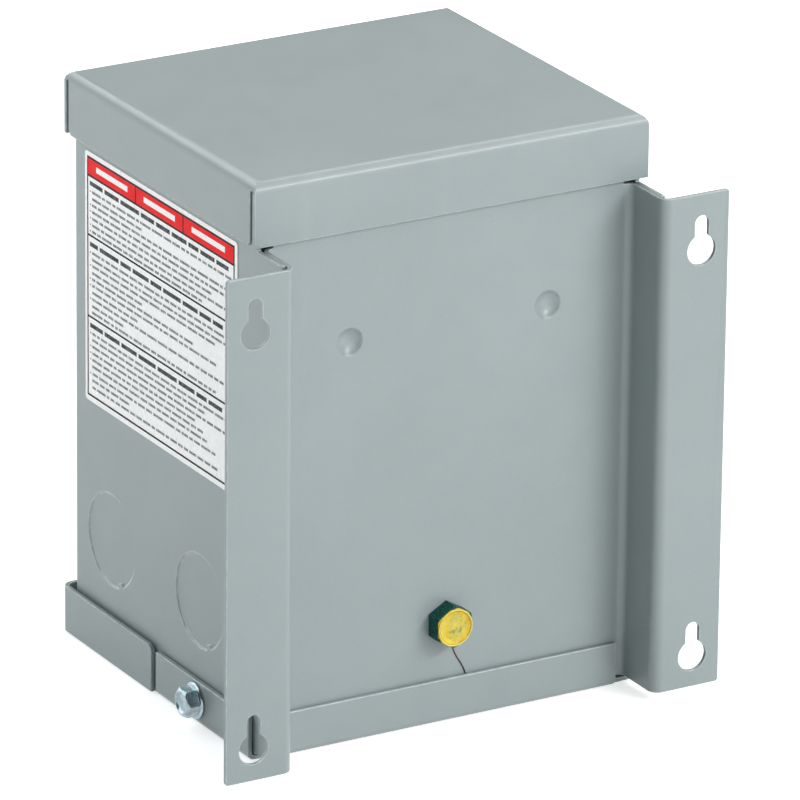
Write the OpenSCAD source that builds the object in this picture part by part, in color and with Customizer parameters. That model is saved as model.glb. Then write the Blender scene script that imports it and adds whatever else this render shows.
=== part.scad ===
// Encapsulated buck boost transformer in a wall-mounted sheet-steel enclosure.
// X runs across the back panel, +Y points at the wall, Z is up and z = 0 is the underside of the bottom pan.

/* [Case] */
// Outer width of the wrapped case, side to side
case_w = 122.1; // [112:0.1:150]
// Outer depth of the case, front sheet to back panel
case_d = 107.5; // [96:0.1:140]
// Height from the floor to the top of the cover
total_h = 170.6; // [160:0.1:210]
// Thickness of the folded steel sheet
sheet = 1.4; // [1:0.1:1.8]
// Outer radius of the folded vertical front corners
wrap_bend_r = 2.6; // [2.2:0.1:4]
// Space between the case's upper and lower edges and the folds of the cover and the pan
case_seat = 0.2; // [0.1:0.05:0.6]

/* [Top cover] */
// Height of the folded cover flanges, top face included
cover_h = 18.5; // [14:0.1:26]
// Space between the cover flanges and the case
cover_gap = 0.4; // [0.2:0.1:0.8]
// Outer radius of the cover's folds
cover_bend_r = 3; // [2.2:0.1:4]
// Width of the open slit at each corner of the cover
cover_slit = 1.3; // [0.6:0.1:2]
// How far the corner slits start below the top face
slit_top = 2.2; // [1.8:0.1:4]
// Chamfer on the lower corners of the side flanges
cover_chamfer = 1.2; // [0.5:0.1:2]

/* [Back panel] */
// Distance that the mounting ears stand behind the panel
hat_depth = 17.4; // [12:0.1:26]
// Width of each mounting ear, from the case side to its outer edge
ear_reach = 18.75; // [17:0.05:26]
// Height of the ears' lower edge above the floor
ear_z0 = 2.5; // [2.2:0.1:6]
// Space between the ears' upper edge and the cover flange
ear_top_gap = 1.3; // [0.6:0.1:4]
// Outer radius of the fold between wall and ear
ear_bend_r = 3.2; // [2.4:0.1:4]
// Inner radius of the fold between panel and wall
panel_bend_r = 2.4; // [0.6:0.1:3]
// Rounding of the ears' outer corners
ear_corner_r = 1; // [0.5:0.1:4]
// Distance by which the case sides stop short of the ear fold
wrap_end_gap = 0.6; // [0.3:0.1:2]
// Space between the spot-welded layers of the side walls
weld_gap = 0.05; // [0.02:0.01:0.1]

/* [Keyholes] */
// Distance from an ear's outer edge to its keyholes
keyhole_edge = 8.8; // [7.5:0.1:10]
// Distance from an ear's lower edge to the centre of the lower keyhole's round part
keyhole_low = 9.5; // [8:0.1:20]
// Distance from an ear's upper edge to the centre of the upper keyhole's round part
keyhole_high = 16.6; // [14:0.1:30]
// Radius of the round part, which passes a screw head
keyhole_r = 4.5; // [4:0.1:5]
// Half width of the slot, which holds a screw shank
keyhole_slot_r = 2.15; // [1.8:0.05:2.6]
// Distance from the round part's centre to the slot's end centre
keyhole_slot_l = 7.95; // [6:0.05:9]

/* [Panel dimples] */
// Distance between the two pressed dimples
dimple_dx = 63.4; // [40:0.1:80]
// Distance from the cover flange's lower edge down to the dimples
dimple_drop = 32.9; // [20:0.1:50]
// Radius of a dimple at the panel's face
dimple_r = 4.15; // [3:0.05:5]
// Depth of a dimple
dimple_depth = 2; // [0.8:0.1:2.4]

/* [Bottom pan] */
// Height of the pan's rear and rear side flanges
pan_h = 13.2; // [12:0.1:18]
// Extra height of the pan's front flange and its corner returns
pan_front_rise = 1.1; // [0.5:0.1:3]
// Space between the case sides and the rear side flanges
pan_side_gap = 0.4; // [0.2:0.1:0.8]
// Space between the case sides and the corner returns
return_gap = 0.8; // [0.5:0.1:1.5]
// Space between the case front and the front flange
pan_front_gap = 2.6; // [1:0.1:4]
// Space between the back panel and the rear flange
pan_back_gap = 0.3; // [0.2:0.1:0.8]
// Space between the rear flange's ends and the folds beside the panel
pan_back_end_gap = 0.4; // [0.2:0.1:2]
// Outer radius of the pan's bottom folds
pan_bend_r = 2.2; // [1.9:0.1:3]
// Outer radius of the pan's vertical front corners
pan_corner_r = 3.4; // [3:0.1:6]
// Distance of the corner returns' ends from the middle of the case's depth
return_back = 3; // [-8:0.05:12]
// Width of the slit between a corner return and the rear side flange
return_slit = 1.85; // [1:0.05:3]
// Rounding of a corner return's upper end
return_end_r = 2.4; // [1:0.1:6]
// Distance by which the side flanges stop short of the panel's rear face
side_flange_back = 0.65; // [0.2:0.05:2]
// Chamfer on the side flanges' lower front corners
side_flange_chamfer = 1.5; // [0.5:0.1:3]

/* [Knockouts] */
// Diameter of a knockout, for a 3/4 inch conduit fitting
knockout_d = 28.2; // [20:0.1:30]
// Distance from the pan's returns up to the knockouts
knockout_lift = 8.1; // [4:0.1:12]
// Distance from the case's front sheet to the front knockout's centre
knockout_front = 23.15; // [18:0.05:28]
// Distance from the back panel's face to the rear knockout's centre
knockout_rear = 32.05; // [20:0.05:36]
// Depth to which a knockout is pressed into its sheet
knockout_depth = 0.5; // [0.2:0.05:0.7]
// Width of the sloped step round a knockout
knockout_step = 0.4; // [0.2:0.05:1]
// Width of the tie that holds a knockout in
knockout_tie = 2.4; // [1:0.1:4]
// Length of the tie, from the knockout's edge inwards
knockout_tie_l = 1.5; // [1:0.1:3]
// Angle from straight down to the tie, towards the back panel
knockout_turn = 23; // [0:1:45]

/* [Label] */
// Distance from the case's front sheet to the sticker's front edge
label_front = 7.9; // [5:0.1:20]
// Distance from the sticker's rear edge to the back panel's face
label_rear = 10.6; // [5:0.1:20]
// Distance from the knockouts up to the sticker's lower edge
label_lift = 24.3; // [5:0.1:50]
// Space between the sticker's upper edge and the cover flange
label_drop = 2.2; // [1:0.1:4]
// Thickness of the sticker
label_t = 0.2; // [0.1:0.05:0.3]
// Corner radius of the sticker
label_r = 1.2; // [0.5:0.1:3]

/* [Pan screws] */
// Distance across the flats of the hex washer head
screw_af = 7.94; // [6.35:0.01:8]
// Height of the head, its washer flange included
screw_head_h = 4.7; // [4:0.1:6]
// Radius of the washer flange
screw_flange_r = 5.3; // [4.8:0.1:6]
// Thickness of the washer flange
screw_flange_t = 0.9; // [0.6:0.1:1.2]
// Radius of the shank
screw_r = 2.2; // [1.8:0.1:2.4]
// Length of the shank, point included
screw_l = 12.7; // [9:0.1:16]
// Distance from the side flange's rear end to the screw
screw_rear = 30.45; // [10:0.05:40]
// Distance from the side flange's upper edge down to the screw
screw_drop = 6; // [5.6:0.1:6.4]

/* [Ground bolt] */
// Distance across the flats of the bolt head and the nut
bolt_af = 11.1; // [10:0.1:12]
// Height of the bolt head
bolt_head_h = 5.9; // [4:0.1:7]
// Radius of the bolt's shank, 1/4 inch
bolt_r = 3.15; // [2.9:0.05:3.2]
// Length of the shank under the head
bolt_l = 16; // [14:0.5:19]
// Height of the bolt above the floor
bolt_z = 30.1; // [26:0.1:34]
// Radius of the dish in the bolt's face
bolt_dish_r = 4.7; // [4:0.1:5]
// Depth of the dish in the bolt's face
bolt_dish_depth = 0.7; // [0.4:0.1:1]
// Thickness of the split lock washer
lockwasher_t = 1.6; // [1.2:0.1:2]
// Thickness of the nut
bolt_nut_h = 5.4; // [4:0.1:6]

/* [Core and coil] */
// Distance from the case's outside to the core, at its sides
core_side = 13.05; // [10:0.05:18]
// Distance from the case's outside to the lamination stack, at its front and rear
core_face = 31.25; // [29:0.05:38]
// Thickness of the potting under the core
core_lift = 12; // [10:0.5:16]
// Thickness of the potting over the core
core_drop = 15; // [8:0.5:20]
// Play between the bobbin and the core
bobbin_play = 0.3; // [0.2:0.1:0.6]
// Wall thickness of the bobbin
bobbin_wall = 1.2; // [0.8:0.1:2]
// Primary winding's share of the space for copper
primary_share = 0.525; // [0.4:0.005:0.6]
// Space between the coil and the core's outer limbs
coil_gap = 1.9; // [1:0.1:4]
// Thickness of the outer insulation wrap
wrap_t = 0.5; // [0.3:0.1:0.8]
// Inner corner radius of the windings
winding_corner = 1.5; // [1:0.1:3]
// Radial space between the layers of the coil
layer_gap = 0.1; // [0.05:0.05:0.2]
// Height of the rails that clamp the core
rail_h = 12; // [10:0.5:14]
// Thickness of the clamp rails
rail_t = 1.5; // [1:0.1:2.5]
// Radius of the core bolts, M5
core_bolt_r = 2.4; // [2:0.1:2.5]
// Distance across the flats of the core bolts and nuts
core_bolt_af = 8; // [7:0.1:8]
// Height of a core bolt's head or nut
core_head_h = 3.5; // [3:0.1:4.5]
// Radial play of the core bolts in their holes
core_bolt_play = 0.2; // [0.1:0.05:0.4]

/* [Potting and wiring] */
// Distance from the knockouts up to the barrier plate
barrier_lift = 9.4; // [6:0.1:14]
// Thickness of the barrier plate
barrier_t = 2; // [1.5:0.1:3]
// Space round the barrier plate and the potting
fill_gap = 0.1; // [0.05:0.05:0.3]
// Radius of a lead's insulation
lead_r = 1.5; // [1.2:0.1:1.8]
// Radius of the leads' bends
lead_bend_r = 10; // [7:0.5:12]
// Height of the leads' lowest run above the floor
lead_run_z = 20; // [18:0.5:22]
// Length of the leads' straight level run
lead_run_l = 30; // [20:1:34]
// Distance from the barrier plate down to the ends of the leads' insulation
lead_end_drop = 18; // [12:0.5:22]
// Length of the bare lead ends
lead_tip_l = 7; // [5:0.5:8]
// Radius of the bare lead ends
lead_tip_r = 0.8; // [0.5:0.05:1]
// Distance between neighbouring leads
lead_pitch = 10; // [8:0.5:11]
// Distance of the leads from the core's front and rear faces
lead_offset = 7.5; // [6.5:0.5:10]
// Radial play of the leads in the barrier plate and the potting
lead_play = 0.1; // [0.05:0.05:0.3]

/* [Hidden] */
$fn = 48;
eps = 0.01;
cut = 1;

// The case is built round the middle of its own depth, and moved so that the whole part is centred on y = 0.
front_y = -case_d / 2;
back_y = case_d / 2;
side_x = case_w / 2;
ear_back_y = back_y + hat_depth;
pan_front_y = front_y - pan_front_gap - sheet;
centre_y = -(ear_back_y + pan_front_y) / 2;

// How far a sheet's edge has to stay off the flat, where it stands beside a fold of inner radius r at a gap
function fold_drop(r, gap) = r > gap ? r - sqrt(r * r - (r - gap) * (r - gap)) : 0;

// Case
case_z0 = sheet + case_seat + fold_drop(pan_bend_r - sheet, min(pan_side_gap, pan_back_gap));
cover_in_z = total_h - sheet;
case_z1 = cover_in_z - case_seat - fold_drop(cover_bend_r - sheet, cover_gap);
cover_w = case_w + 2 * (cover_gap + sheet);
cover_d = case_d + 2 * (cover_gap + sheet);
cover_z0 = total_h - cover_h;
ear_z1 = cover_z0 - ear_top_gap;
ear_x = side_x + ear_reach;
hat_out_x = side_x - sheet - weld_gap;
hat_in_x = hat_out_x - sheet;
wrap_back_y = ear_back_y - ear_bend_r - wrap_end_gap;
keyhole_x = ear_x - keyhole_edge;
keyhole_z = [ear_z0 + keyhole_low, ear_z1 - keyhole_high];
dimple_z = cover_z0 - dimple_drop;
// Radius of the ball that presses a dimple
dimple_ball_r = (dimple_r * dimple_r + dimple_depth * dimple_depth) / (2 * dimple_depth);

// Pan
pan_x = side_x + pan_side_gap + sheet;
return_x = side_x + return_gap + sheet;
pan_back_y = back_y + pan_back_gap + sheet;
return_end_y = -return_back;
side_flange_y0 = return_end_y + return_slit;
side_flange_y1 = back_y - side_flange_back;
fold_slit = 0.25;
pan_return_h = pan_h + pan_front_rise;

// Knockouts and label
knockout_z = pan_return_h + knockout_lift + knockout_d / 2;
knockout_top = knockout_z + knockout_d / 2;
knockout_y = [front_y + knockout_front, back_y - knockout_rear];
label_z0 = knockout_top + label_lift;
label_z1 = cover_z0 - label_drop;
label_y0 = front_y + label_front;
label_y1 = back_y - label_rear;

// Fasteners
screw_pos_y = side_flange_y1 - screw_rear;
screw_z = pan_h - screw_drop;
screw_hole_play = 0.4;
pilot_play = 0.05;
bolt_hole_play = 0.25;

// Core: its limbs and windows follow from its width, and its height from the space for the potting
barrier_z0 = knockout_top + barrier_lift;
potting_z0 = barrier_z0 + barrier_t + fill_gap;
potting_z1 = cover_in_z - fill_gap;
lam_w = case_w - 2 * core_side;
stack_d = case_d - 2 * core_face;
tongue = lam_w / 3;
limb = lam_w / 6;
window_w = lam_w / 6;
core_z0 = potting_z0 + core_lift;
core_z1 = potting_z1 - core_drop;
window_z0 = core_z0 + limb;
window_z1 = core_z1 - limb;
window_h = window_z1 - window_z0;
bobbin_z0 = window_z0 + bobbin_play;
bobbin_z1 = window_z1 - bobbin_play;
bobbin_in_w = tongue + 2 * bobbin_play;
bobbin_in_d = stack_d + 2 * bobbin_play;
copper_build = window_w - bobbin_play - bobbin_wall - 3 * layer_gap - wrap_t - coil_gap;
primary_build = copper_build * primary_share;
secondary_build = copper_build - primary_build;
primary_in = bobbin_wall + layer_gap;
secondary_in = primary_in + primary_build + layer_gap;
wrap_in = secondary_in + secondary_build + layer_gap;
flange_reach = wrap_in + wrap_t;
coil_z0 = bobbin_z0 + bobbin_wall + layer_gap;
coil_z1 = bobbin_z1 - bobbin_wall - layer_gap;
core_hole_inset = limb / 3;
core_hole_x = lam_w / 2 - core_hole_inset;
core_hole_z = [core_z0 + limb / 2, core_z1 - limb / 2];

// Leads: h leads hang from the coil's front, x leads from its rear
lead_names = ["lead_h1", "lead_x1", "lead_h2", "lead_x2", "lead_h3", "lead_x3", "lead_h4", "lead_x4"];
lead_colors = ["black", "yellow", "dimgray", "royalblue", "saddlebrown", "red", "darkorange", "white"];
lead_count = len(lead_names);
lead_y = stack_d / 2 + lead_offset;
lead_end_z = barrier_z0 - lead_end_drop;
lead_span = lead_run_l + 2 * lead_bend_r;
function lead_x(i) = (i - (lead_count - 1) / 2) * lead_pitch;
function lead_side(i) = i % 2 == 0 ? -1 : 1;

paint = [0.62, 0.67, 0.67];
steel = [0.72, 0.73, 0.75];
zinc = [0.78, 0.80, 0.82];
ground_green = [0.04, 0.30, 0.26];

// A rectangle with round corners, centred
module round_rect(w, d, r) {
    square([w - 2 * r, d], center = true);
    square([w, d - 2 * r], center = true);
    for (sx = [-1, 1], sy = [-1, 1])
        translate([sx * (w / 2 - r), sy * (d / 2 - r)]) circle(r);
}

// A quarter of a ring in the first quadrant: the section of a 90 degree fold
module fold(r_out, t = sheet) {
    difference() {
        intersection() {
            circle(r_out);
            square(r_out);
        }
        circle(r_out - t);
    }
}

// A hexagonal prism with one pair of points up, its axis along Z
module hex_prism(af, h) {
    rotate(30) cylinder(r = af / sqrt(3), h = h, $fn = 6);
}

// Turns what stands on Z so that it points along +X or +Y
module along_x() {
    rotate([0, 90, 0]) children();
}

module along_y() {
    rotate([-90, 0, 0]) children();
}

// Extrudes a section drawn in Y and Z along X, centred
module extrude_x(l) {
    rotate([90, 0, 90]) linear_extrude(l, center = true) children();
}

// Extrudes a section drawn in X and Z along Y, centred
module extrude_y(l) {
    rotate([90, 0, 0]) linear_extrude(l, center = true) children();
}

// A section with two round upper corners, open-ended below: w wide, up to height top
module lid_section(w, top, bottom, r) {
    difference() {
        translate([-w / 2, bottom]) square([w, top - bottom]);
        for (s = [-1, 1])
            translate([s * (w / 2 - r), top - r]) difference() {
                translate([s > 0 ? 0 : -r - cut, 0]) square([r + cut, r + cut]);
                circle(r);
            }
    }
}

// The space inside folds of radius r on all four upper edges
module lid_block(w, d, top, bottom, r) {
    intersection() {
        extrude_y(d) lid_section(w, top, bottom, r);
        extrude_x(w) lid_section(d, top, bottom, r);
    }
}

module top_cover() {
    slit_y = cover_d / 2 - sheet - cover_slit;
    slit_r = cover_slit / 2;
    slit_z1 = total_h - slit_top - slit_r;
    // The slit reaches further in than the sheet, because the fold above it leans inwards
    slit_x = cover_w / 2 - sheet - slit_r;
    slit_l = sheet + slit_r + cut;
    color(paint) translate([0, centre_y, 0]) difference() {
        lid_block(cover_w, cover_d, total_h, cover_z0, cover_bend_r);
        lid_block(cover_w - 2 * sheet, cover_d - 2 * sheet, cover_in_z, cover_z0 - cut, cover_bend_r - sheet);
        for (sx = [0, 1], sy = [0, 1]) mirror([sx, 0, 0]) mirror([0, sy, 0]) {
            translate([slit_x, slit_y, cover_z0 - cut]) cube([slit_l, cover_slit, slit_z1 - cover_z0 + cut]);
            translate([slit_x, slit_y + slit_r, slit_z1]) along_x() cylinder(r = slit_r, h = slit_l);
            // Chamfer on the side flange's lower corner
            translate([cover_w / 2, 0, 0]) extrude_x(2 * (sheet + eps))
                polygon([[slit_y - cover_chamfer, cover_z0 - eps], [slit_y + eps, cover_z0 - eps],
                    [slit_y + eps, cover_z0 + cover_chamfer]]);
        }
    }
}

// A knockout's disc, pushed out of the inner side of a sheet whose outer face is at z = 0
module knockout_disc() {
    translate([0, 0, -sheet - knockout_depth])
        cylinder(r = knockout_d / 2 - knockout_step, h = sheet);
}

// The recess over a knockout, in a face whose outward normal is +Z, with its tie towards +X
module knockout_recess() {
    difference() {
        union() {
            translate([0, 0, -knockout_depth])
                cylinder(r1 = knockout_d / 2 - knockout_step, r2 = knockout_d / 2, h = knockout_depth);
            cylinder(r = knockout_d / 2, h = cut);
        }
        translate([knockout_d / 2 - knockout_tie_l, -knockout_tie / 2, -cut])
            cube([knockout_tie_l + cut, knockout_tie, 2 * cut + eps]);
    }
}

// Places what is drawn on an outer face with +Z as its normal at the knockouts of both sides
module at_knockouts() {
    for (s = [-1, 1], y = knockout_y)
        translate([s * side_x, y, knockout_z])
            rotate([0, s * 90, 0]) rotate(s > 0 ? knockout_turn : 180 - knockout_turn) children();
}

// The front sheet and the two sides up to y_end, seen from above
module wrap_section(y_end) {
    translate([-side_x + wrap_bend_r, front_y]) square([case_w - 2 * wrap_bend_r, sheet]);
    for (s = [0, 1]) mirror([s, 0]) {
        translate([side_x - wrap_bend_r, front_y + wrap_bend_r]) rotate(-90) fold(wrap_bend_r);
        translate([side_x - sheet, front_y + wrap_bend_r]) square([sheet, y_end - front_y - wrap_bend_r]);
    }
}

module case_wrap() {
    color(paint) translate([0, centre_y, 0]) difference() {
        union() {
            translate([0, 0, case_z0]) linear_extrude(case_z1 - case_z0) wrap_section(back_y);
            for (s = [-1, 1])
                translate([s > 0 ? side_x - sheet : -side_x, back_y - cut, ear_z0])
                    cube([sheet, wrap_back_y - back_y + cut, ear_z1 - ear_z0]);
            at_knockouts() knockout_disc();
        }
        at_knockouts() knockout_recess();
        for (s = [-1, 1])
            translate([s * side_x, screw_pos_y, screw_z]) along_x()
                cylinder(r = screw_r + pilot_play, h = 2 * (sheet + cut), center = true);
    }
}

// The panel, its walls and its ears, seen from above
module hat_section() {
    wall_y0 = back_y + panel_bend_r;
    wall_y1 = ear_back_y - ear_bend_r;
    flat_x = hat_in_x - panel_bend_r;
    translate([-flat_x, back_y - sheet]) square([2 * flat_x, sheet]);
    for (s = [0, 1]) mirror([s, 0]) {
        translate([flat_x, wall_y0]) rotate(-90) fold(panel_bend_r + sheet);
        translate([hat_in_x, wall_y0]) square([sheet, wall_y1 - wall_y0]);
        translate([hat_in_x + ear_bend_r, wall_y1]) rotate(90) fold(ear_bend_r);
        translate([hat_in_x + ear_bend_r, ear_back_y - sheet])
            square([ear_x - hat_in_x - ear_bend_r, sheet]);
    }
}

module keyhole_cut() {
    along_y() cylinder(r = keyhole_r, h = 2 * sheet + 2 * cut, center = true);
    translate([0, 0, keyhole_slot_l]) along_y()
        cylinder(r = keyhole_slot_r, h = 2 * sheet + 2 * cut, center = true);
    translate([-keyhole_slot_r, -sheet - cut, 0])
        cube([2 * keyhole_slot_r, 2 * (sheet + cut), keyhole_slot_l]);
}

// Removes a square corner outside a rounding of radius r, in X and Z, open towards +X and +Z
module corner_cut(r, depth) {
    rotate([90, 0, 0]) translate([-r, -r, -depth / 2]) linear_extrude(depth) difference() {
        square(r + cut);
        circle(r);
    }
}

// Places a dimple's shape, drawn with the panel's rear face at y = 0
module at_dimples() {
    for (s = [-1, 1])
        translate([s * dimple_dx / 2, back_y, dimple_z]) children();
}

module back_panel() {
    color(paint) translate([0, centre_y, 0]) difference() {
        union() {
            translate([0, 0, ear_z0]) linear_extrude(ear_z1 - ear_z0) hat_section();
            translate([-hat_in_x + panel_bend_r, back_y - sheet, case_z0])
                cube([2 * (hat_in_x - panel_bend_r), sheet, case_z1 - case_z0]);
            at_dimples() intersection() {
                translate([0, dimple_ball_r - dimple_depth, 0]) sphere(r = dimple_ball_r + sheet);
                rotate([90, 0, 0]) cylinder(r = dimple_ball_r, h = dimple_depth + 2 * sheet);
            }
        }
        at_dimples() translate([0, dimple_ball_r - dimple_depth, 0]) sphere(r = dimple_ball_r);
        for (s = [-1, 1]) {
            for (z = keyhole_z)
                translate([s * keyhole_x, ear_back_y, z]) keyhole_cut();
        }
        for (s = [0, 1]) mirror([s, 0, 0]) {
            translate([ear_x, ear_back_y, ear_z1]) corner_cut(ear_corner_r, 4 * sheet);
            translate([ear_x, ear_back_y, ear_z0]) mirror([0, 0, 1]) corner_cut(ear_corner_r, 4 * sheet);
        }
        translate([0, back_y, bolt_z]) along_y()
            cylinder(r = bolt_r + bolt_hole_play, h = 2 * (sheet + cut), center = true);
    }
}

// Front flange and corner returns, seen from above
module pan_front_section() {
    return_y0 = pan_front_y + pan_corner_r;
    translate([-return_x + pan_corner_r, pan_front_y]) square([2 * (return_x - pan_corner_r), sheet]);
    for (s = [0, 1]) mirror([s, 0]) {
        translate([return_x - pan_corner_r, return_y0]) rotate(-90) fold(pan_corner_r);
        translate([return_x - sheet, return_y0]) square([sheet, return_end_y - return_y0]);
    }
}

// Side view of the front flange and its returns: round below at the front and above at the rear
module pan_return_profile() {
    difference() {
        translate([pan_front_y - cut, fold_slit])
            square([return_end_y - pan_front_y + cut, pan_return_h - fold_slit]);
        translate([pan_front_y + pan_bend_r, pan_bend_r]) difference() {
            translate([-pan_bend_r - 2 * cut, -pan_bend_r - cut])
                square([pan_bend_r + 2 * cut, pan_bend_r + cut]);
            circle(pan_bend_r);
        }
        translate([return_end_y - return_end_r, pan_return_h - return_end_r]) difference() {
            square(return_end_r + cut);
            circle(return_end_r);
        }
    }
}

// A folded flange with its bottom fold, drawn in the plane across it: the flange stands at x = 0 and the
// pan's sheet runs towards +x up to reach
module flange_section(h, reach) {
    translate([pan_bend_r, pan_bend_r]) rotate(180) fold(pan_bend_r);
    translate([0, pan_bend_r]) square([sheet, h - pan_bend_r]);
    translate([pan_bend_r, 0]) square([reach - pan_bend_r, sheet]);
}

module bottom_pan() {
    plate_x = return_x - sheet - fold_slit;
    plate_y0 = pan_front_y + pan_corner_r;
    plate_y1 = pan_back_y - pan_bend_r;
    back_half_w = hat_in_x - panel_bend_r - pan_back_end_gap;
    side_l = side_flange_y1 - side_flange_y0;
    overlap = 2 * sheet;
    color(paint) translate([0, centre_y, 0]) difference() {
        union() {
            // Bottom sheet: narrower between the side flanges
            translate([-plate_x, plate_y0, 0]) cube([2 * plate_x, return_end_y - plate_y0, sheet]);
            translate([-pan_x + pan_bend_r, return_end_y - overlap, 0])
                cube([2 * (pan_x - pan_bend_r), plate_y1 - return_end_y + overlap, sheet]);
            // Front flange and corner returns
            intersection() {
                linear_extrude(pan_return_h) pan_front_section();
                extrude_x(2 * (return_x + cut)) pan_return_profile();
            }
            translate([0, pan_front_y, 0]) extrude_x(2 * (return_x - pan_corner_r))
                flange_section(pan_return_h, pan_bend_r + overlap);
            // Rear flange, between the hat walls
            translate([0, pan_back_y, 0]) mirror([0, 1, 0]) extrude_x(2 * back_half_w)
                flange_section(pan_h, pan_bend_r + overlap);
            // Rear side flanges, which carry the screws
            for (s = [0, 1]) mirror([s, 0, 0])
                translate([-pan_x, side_flange_y0 + side_l / 2, 0]) extrude_y(side_l)
                    flange_section(pan_h, pan_bend_r + overlap);
        }
        for (s = [-1, 1]) {
            translate([s * pan_x, screw_pos_y, screw_z]) along_x()
                cylinder(r = screw_r + screw_hole_play, h = 2 * (sheet + cut), center = true);
            // Chamfer on the rear side flange's lower front corner
            translate([s * pan_x, 0, 0]) extrude_x(2 * pan_bend_r)
                polygon([[side_flange_y0 - eps, -eps], [side_flange_y0 + side_flange_chamfer, -eps],
                    [side_flange_y0 - eps, side_flange_chamfer]]);
        }
    }
}

module pan_screw() {
    point = 2 * screw_r;
    tip_r = 0.4;
    dish = 0.4;
    difference() {
        union() {
            cylinder(r = screw_flange_r, h = screw_flange_t);
            hex_prism(screw_af, screw_head_h);
        }
        // Dished top of the hexagon
        translate([0, 0, screw_head_h - dish]) cylinder(r1 = screw_af / 4, r2 = screw_af / 2.6, h = dish + eps);
    }
    translate([0, 0, point - screw_l]) cylinder(r = screw_r, h = screw_l - point);
    translate([0, 0, -screw_l]) cylinder(r1 = tip_r, r2 = screw_r, h = point);
}

module pan_screws() {
    color(zinc) for (s = [-1, 1])
        translate([s * pan_x, centre_y + screw_pos_y, screw_z]) rotate([0, s * 90, 0]) pan_screw();
}

module side_label() {
    color("white")
        translate([side_x, centre_y + (label_y0 + label_y1) / 2, (label_z0 + label_z1) / 2])
            rotate([90, 0, 90]) linear_extrude(label_t)
                round_rect(label_y1 - label_y0, label_z1 - label_z0, label_r);
}

module ground_bolt() {
    crown = 0.9;
    corner_r = bolt_af / sqrt(3);
    color(ground_green) translate([0, centre_y + back_y, bolt_z]) along_y() {
        difference() {
            intersection() {
                hex_prism(bolt_af, bolt_head_h);
                union() {
                    cylinder(r = corner_r + cut, h = bolt_head_h - crown);
                    translate([0, 0, bolt_head_h - crown])
                        cylinder(r1 = corner_r, r2 = corner_r - crown, h = crown);
                }
            }
            translate([0, 0, bolt_head_h - bolt_dish_depth])
                cylinder(r = bolt_dish_r, h = bolt_dish_depth + eps);
        }
        translate([0, 0, -bolt_l]) cylinder(r = bolt_r, h = bolt_l);
    }
}

module ground_lockwasher() {
    ring_w = bolt_r * 0.75;
    split = 0.8;
    color(steel) translate([0, centre_y + back_y - sheet, bolt_z]) rotate([90, 0, 0]) difference() {
        cylinder(r = bolt_r + bolt_hole_play + ring_w, h = lockwasher_t);
        translate([0, 0, -cut]) cylinder(r = bolt_r + bolt_hole_play, h = lockwasher_t + 2 * cut);
        translate([-split / 2, 0, -cut]) cube([split, 2 * bolt_af, lockwasher_t + 2 * cut]);
    }
}

module ground_nut() {
    color(steel) translate([0, centre_y + back_y - sheet - lockwasher_t, bolt_z]) rotate([90, 0, 0])
        difference() {
            hex_prism(bolt_af, bolt_nut_h);
            translate([0, 0, -cut]) cylinder(r = bolt_r + pilot_play, h = bolt_nut_h + 2 * cut);
        }
}

// Holes for the two core bolts at height z, through a plate or stack on y = 0
module core_holes(z, depth) {
    for (s = [-1, 1])
        translate([s * core_hole_x, 0, z]) along_y()
            cylinder(r = core_bolt_r + core_bolt_play, h = depth, center = true);
}

module core_e_body() {
    translate([-lam_w / 2, -stack_d / 2, window_z1]) cube([lam_w, stack_d, limb]);
    for (x = [-lam_w / 2, lam_w / 2 - limb])
        translate([x, -stack_d / 2, window_z0]) cube([limb, stack_d, window_h]);
    translate([-tongue / 2, -stack_d / 2, window_z0]) cube([tongue, stack_d, window_h]);
}

module core_i_body() {
    translate([-lam_w / 2, -stack_d / 2, core_z0]) cube([lam_w, stack_d, limb]);
}

module core_e_stack() {
    color("slategray") translate([0, centre_y, 0]) difference() {
        core_e_body();
        core_holes(core_hole_z[1], stack_d + 2 * cut);
    }
}

module core_i_stack() {
    color("slategray") translate([0, centre_y, 0]) difference() {
        core_i_body();
        core_holes(core_hole_z[0], stack_d + 2 * cut);
    }
}

// A closed rectangular sleeve round the bobbin tube, from inset off the tube's inside to inset + build
module sleeve(inset, build, z0, z1, corner) {
    w = bobbin_in_w + 2 * inset;
    d = bobbin_in_d + 2 * inset;
    translate([0, 0, z0]) linear_extrude(z1 - z0) difference() {
        round_rect(w + 2 * build, d + 2 * build, corner + build);
        round_rect(w, d, corner);
    }
}

module bobbin_body() {
    w = bobbin_in_w + 2 * flange_reach;
    d = bobbin_in_d + 2 * flange_reach;
    translate([0, 0, bobbin_z0]) linear_extrude(bobbin_z1 - bobbin_z0)
        round_rect(bobbin_in_w + 2 * bobbin_wall, bobbin_in_d + 2 * bobbin_wall, winding_corner);
    for (z = [bobbin_z0, bobbin_z1 - bobbin_wall])
        translate([-w / 2, -d / 2, z]) cube([w, d, bobbin_wall]);
}

module bobbin() {
    color("ivory") translate([0, centre_y, 0]) difference() {
        bobbin_body();
        translate([-bobbin_in_w / 2, -bobbin_in_d / 2, bobbin_z0 - cut])
            cube([bobbin_in_w, bobbin_in_d, bobbin_z1 - bobbin_z0 + 2 * cut]);
    }
}

module primary_winding() {
    color("peru") translate([0, centre_y, 0])
        sleeve(primary_in, primary_build, coil_z0, coil_z1, winding_corner);
}

module secondary_winding() {
    color("chocolate") translate([0, centre_y, 0])
        sleeve(secondary_in, secondary_build, coil_z0, coil_z1, winding_corner + primary_build);
}

module coil_wrap() {
    color("wheat") translate([0, centre_y, 0])
        sleeve(wrap_in, wrap_t, coil_z0, coil_z1, winding_corner + primary_build + secondary_build);
}

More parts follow.
